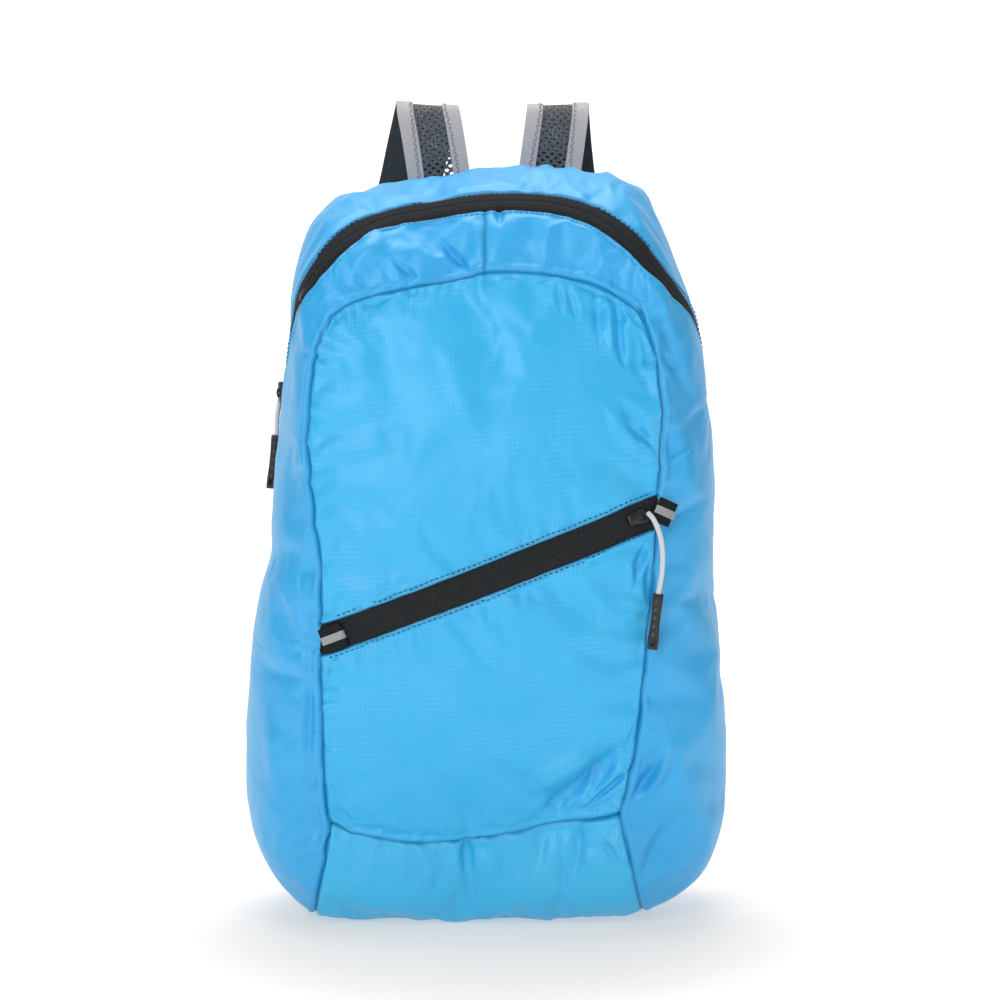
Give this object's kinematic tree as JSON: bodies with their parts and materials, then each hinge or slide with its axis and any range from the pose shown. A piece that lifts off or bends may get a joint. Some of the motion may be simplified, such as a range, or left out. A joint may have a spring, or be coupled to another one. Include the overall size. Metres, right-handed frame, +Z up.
{
  "type": "packable backpack",
  "caption": "Light daypack of thin ripstop cloth with an arched main zip, a slanted pocket zip, flat webbing tabs, moulded zip grips and net shoulder straps with buckles.",
  "frame": {"origin": "middle of the base, at the height that the bag stands on", "axes": "+Z up, +X to the right of the front panel as it is seen from the front, +Y towards the shoulder straps behind"},
  "size_m": [0.2924, 0.2042, 0.488],
  "materials": {
    "ripstop": "light blue ripstop nylon with a fine grid and a soft sheen",
    "zip_tape": "black woven tape, matt",
    "zip_coil": "black nylon coil",
    "zip_metal": "black painted slider",
    "pull_cord": "pale grey braided cord",
    "grip_moulding": "black moulded grip, satin",
    "webbing": "black woven webbing",
    "reflective_stripe": "grey reflective stripe",
    "strap_net": "dark grey open net",
    "edge_tape": "warm grey woven edge tape",
    "buckle": "black moulded buckle"
  },
  "bodies": {
    "root": {"front_panel_upper": "ripstop", "front_panel_lower": "ripstop", "gusset_left": "ripstop", "gusset_right": "ripstop", "top_panel": "ripstop", "bottom_panel": "ripstop", "back_panel": "ripstop", "main_zip_tape_front": "zip_tape", "main_zip_tape_rear": "zip_tape", "main_zip_coil": "zip_coil", "main_zip_slider": "zip_metal", "main_zip_pull_cord": "pull_cord", "main_zip_pull_grip": "grip_moulding", "pocket_zip_tape_lower": "zip_tape", "pocket_zip_tape_upper": "zip_tape", "pocket_zip_coil": "zip_coil", "pocket_zip_slider": "zip_metal", "pocket_zip_pull_cord": "pull_cord", "pocket_zip_pull_grip": "grip_moulding", "pocket_tab_left": "webbing", "pocket_tab_right": "webbing", "pocket_stripe_left": "reflective_stripe", "pocket_stripe_right": "reflective_stripe", "strap_net_left": "strap_net", "strap_net_right": "strap_net", "strap_tape_inner_left": "edge_tape", "strap_tape_inner_right": "edge_tape", "strap_tape_outer_left": "edge_tape", "strap_tape_outer_right": "edge_tape", "strap_lock_left": "buckle", "strap_lock_right": "buckle", "strap_webbing_left": "webbing", "strap_webbing_right": "webbing", "strap_anchor_left": "ripstop", "strap_anchor_right": "ripstop"}
  },
  "joints": []
}
